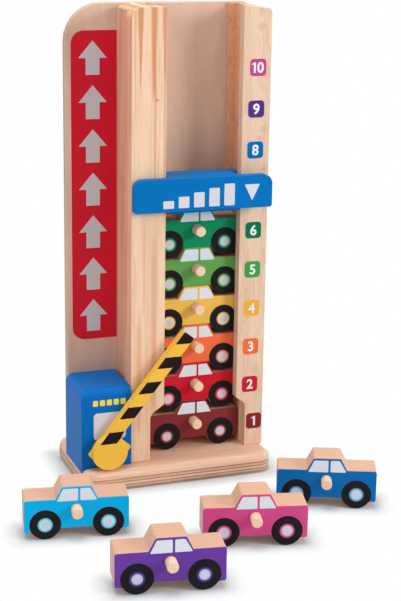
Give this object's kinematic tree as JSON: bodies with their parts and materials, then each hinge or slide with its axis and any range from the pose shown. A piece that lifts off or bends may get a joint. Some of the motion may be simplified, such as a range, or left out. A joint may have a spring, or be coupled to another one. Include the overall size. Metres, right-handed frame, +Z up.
{
  "type": "toy parking garage",
  "caption": "Wooden stacking garage with a tall panel, two rebated columns holding nested cars with pegs, a level slider, a booth with a swinging barrier and loose cars.",
  "frame": {"origin": "centre of the base board's underside, on the surface that the garage and the loose cars stand on", "axes": "+Z up the back panel, -Y out of the front where the lowest car leaves, +X to the right seen from the front"},
  "size_m": [0.2924, 0.2955, 0.394],
  "materials": {
    "beech": "clear satin lacquer",
    "plywood": "clear satin lacquer",
    "blue_paint": "satin paint",
    "yellow_paint": "satin paint",
    "screw_steel": "plain",
    "car_01_paint": "satin paint on the face, bare wood edges",
    "car_02_paint": "satin paint on the face, bare wood edges",
    "car_03_paint": "satin paint on the face, bare wood edges",
    "car_04_paint": "satin paint on the face, bare wood edges",
    "car_05_paint": "satin paint on the face, bare wood edges",
    "car_06_paint": "satin paint on the face, bare wood edges",
    "loose_car_cyan_paint": "satin paint on the face, bare wood edges",
    "loose_car_purple_paint": "satin paint on the face, bare wood edges",
    "loose_car_magenta_paint": "satin paint on the face, bare wood edges",
    "loose_car_blue_paint": "satin paint on the face, bare wood edges"
  },
  "bodies": {
    "garage": {"base_board": "beech", "back_panel": "plywood", "left_column": "beech", "right_column": "beech", "ticket_booth": "blue_paint", "base_screw_1": "screw_steel", "base_screw_2": "screw_steel", "base_screw_3": "screw_steel", "base_screw_4": "screw_steel", "panel_screw_left_1": "screw_steel", "panel_screw_left_2": "screw_steel", "panel_screw_left_3": "screw_steel", "panel_screw_right_1": "screw_steel", "panel_screw_right_2": "screw_steel", "panel_screw_right_3": "screw_steel"},
    "gate": {"gate_face": "yellow_paint", "gate_backing": "yellow_paint", "gate_pivot_pin": "beech"},
    "level_slider": {"level_plate": "blue_paint", "level_neck": "blue_paint", "level_shoe": "blue_paint"},
    "car_01": {"car_01_body": "car_01_paint", "car_01_peg": "beech"},
    "car_02": {"car_02_body": "car_02_paint", "car_02_peg": "beech"},
    "car_03": {"car_03_body": "car_03_paint", "car_03_peg": "beech"},
    "car_04": {"car_04_body": "car_04_paint", "car_04_peg": "beech"},
    "car_05": {"car_05_body": "car_05_paint", "car_05_peg": "beech"},
    "car_06": {"car_06_body": "car_06_paint", "car_06_peg": "beech"},
    "loose_car_cyan": {"loose_car_cyan_body": "loose_car_cyan_paint", "loose_car_cyan_peg": "beech"},
    "loose_car_purple": {"loose_car_purple_body": "loose_car_purple_paint", "loose_car_purple_peg": "beech"},
    "loose_car_magenta": {"loose_car_magenta_body": "loose_car_magenta_paint", "loose_car_magenta_peg": "beech"},
    "loose_car_blue": {"loose_car_blue_body": "loose_car_blue_paint", "loose_car_blue_peg": "beech"}
  },
  "joints": [
    {"name": "gate_swing", "type": "hinge", "parent": "garage", "child": "gate", "pos_m": [-0.0614, -0.0358, 0.033], "axis": [0, -1, 0], "range_deg": [-51.4, 38.6]},
    {"name": "car_01_pull", "type": "slide", "parent": "garage", "child": "car_01", "axis": [0, -1, 0], "range_m": [0, 0.045]},
    {"name": "car_02_rise", "type": "slide", "parent": "garage", "child": "car_02", "axis": [0, 0, 1], "range_m": [0, 0.0205]},
    {"name": "car_03_rise", "type": "slide", "parent": "car_02", "child": "car_03", "axis": [0, 0, 1], "range_m": [0, 0.0205]},
    {"name": "car_04_rise", "type": "slide", "parent": "car_03", "child": "car_04", "axis": [0, 0, 1], "range_m": [0, 0.0205]},
    {"name": "car_05_rise", "type": "slide", "parent": "car_04", "child": "car_05", "axis": [0, 0, 1], "range_m": [0, 0.0205]},
    {"name": "car_06_rise", "type": "slide", "parent": "car_05", "child": "car_06", "axis": [0, 0, 1], "range_m": [0, 0.0205]},
    {"name": "level_rise", "type": "slide", "parent": "car_06", "child": "level_slider", "axis": [0, 0, 1], "range_m": [0, 0.0337]},
    {"name": "loose_car_cyan_lift", "type": "slide", "parent": "garage", "child": "loose_car_cyan", "axis": [0, 0, 1], "range_m": [0, 0.06]},
    {"name": "loose_car_purple_lift", "type": "slide", "parent": "garage", "child": "loose_car_purple", "axis": [0, 0, 1], "range_m": [0, 0.06]},
    {"name": "loose_car_magenta_lift", "type": "slide", "parent": "garage", "child": "loose_car_magenta", "axis": [0, 0, 1], "range_m": [0, 0.06]},
    {"name": "loose_car_blue_lift", "type": "slide", "parent": "garage", "child": "loose_car_blue", "axis": [0, 0, 1], "range_m": [0, 0.06]}
  ]
}
